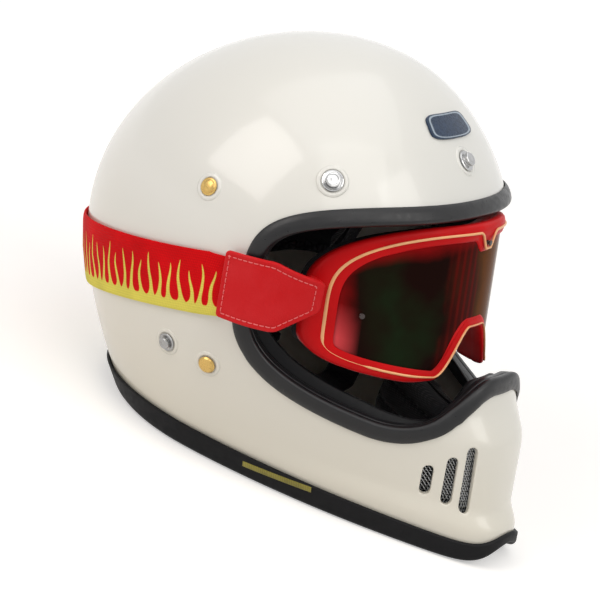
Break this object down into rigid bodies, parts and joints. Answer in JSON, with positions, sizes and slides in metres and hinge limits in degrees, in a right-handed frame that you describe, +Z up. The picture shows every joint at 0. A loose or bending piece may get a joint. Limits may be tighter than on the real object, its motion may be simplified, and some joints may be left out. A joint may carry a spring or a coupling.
{
  "type": "motorcycle helmet",
  "caption": "Off-white full-face motorcycle helmet of the early off-road kind, with slotted chin bar, snap studs, padded liner, ring-buckle chin strap and red goggles strapped over it.",
  "frame": {"origin": "centre of the helmet's outline on the surface it stands on", "axes": "+Z up from the base edge to the crown, -Y the way the wearer faces, -X the wearer's right"},
  "size_m": [0.2614, 0.3473, 0.26],
  "materials": {
    "shell": "gloss",
    "rubber": "satin",
    "lining": "matte",
    "foam_liner": "matte",
    "liner_fabric": "matte",
    "mesh": "satin",
    "plate": "satin",
    "chrome": "polished",
    "brass": "satin",
    "pad_fabric": "matte",
    "tab": "matte",
    "steel": "satin",
    "webbing": "matte",
    "goggle_red": "satin",
    "lens": "gloss",
    "bead": "satin",
    "face_foam": "matte",
    "lens_posts": "satin",
    "patch": "satin",
    "strap": "matte",
    "buckle": "satin"
  },
  "bodies": {
    "helmet": {"outer_shell": "shell", "eyeport_trim": "rubber", "base_trim": "rubber", "eyeport_lining": "lining", "impact_liner": "foam_liner", "crown_pad": "liner_fabric", "chin_liner": "liner_fabric", "neck_roll": "liner_fabric", "vent_mesh_right": "mesh", "vent_mesh_left": "mesh", "brow_plate": "plate", "snap_front": "chrome", "snap_temple_right": "chrome", "snap_temple_left": "chrome", "rivet_right": "brass", "rivet_left": "brass", "strap_rivet_right": "brass", "strap_rivet_left": "brass", "rear_snap_right": "chrome", "rear_snap_left": "chrome", "goggle_strap": "strap", "strap_adjuster": "buckle"},
    "goggles": {"goggle_frame": "goggle_red", "goggle_lens": "lens", "lens_bead": "bead", "face_foam": "face_foam", "tear_off_posts": "lens_posts", "strap_lug_right": "goggle_red", "strap_lug_left": "goggle_red", "strap_patch_right": "patch", "strap_patch_left": "patch"},
    "cheek_right": {"cheek_pad_right": "pad_fabric", "pull_tab_right": "tab"},
    "cheek_left": {"cheek_pad_left": "pad_fabric", "pull_tab_left": "tab"},
    "chin_strap": {"hanger_right": "steel", "hanger_left": "steel", "chin_web_right": "webbing", "chin_web_left": "webbing", "d_ring_inner": "steel", "d_ring_outer": "steel"}
  },
  "joints": [
    {"name": "goggles_pull", "type": "slide", "parent": "helmet", "child": "goggles", "axis": [0, -0.9272, 0.3746], "range_m": [0, 0.055], "stiffness_N_per_m": 60, "deforming": ["goggle_strap"]},
    {"name": "cheek_right_pull", "type": "slide", "parent": "helmet", "child": "cheek_right", "axis": [1, 0, 0], "range_m": [0, 0.03]},
    {"name": "cheek_left_pull", "type": "slide", "parent": "helmet", "child": "cheek_left", "axis": [-1, 0, 0], "range_m": [0, 0.03]},
    {"name": "chin_strap_swing", "type": "hinge", "parent": "helmet", "child": "chin_strap", "pos_m": [0, 0.01037, 0.066], "axis": [1, 0, 0], "range_deg": [-15, 15]}
  ]
}
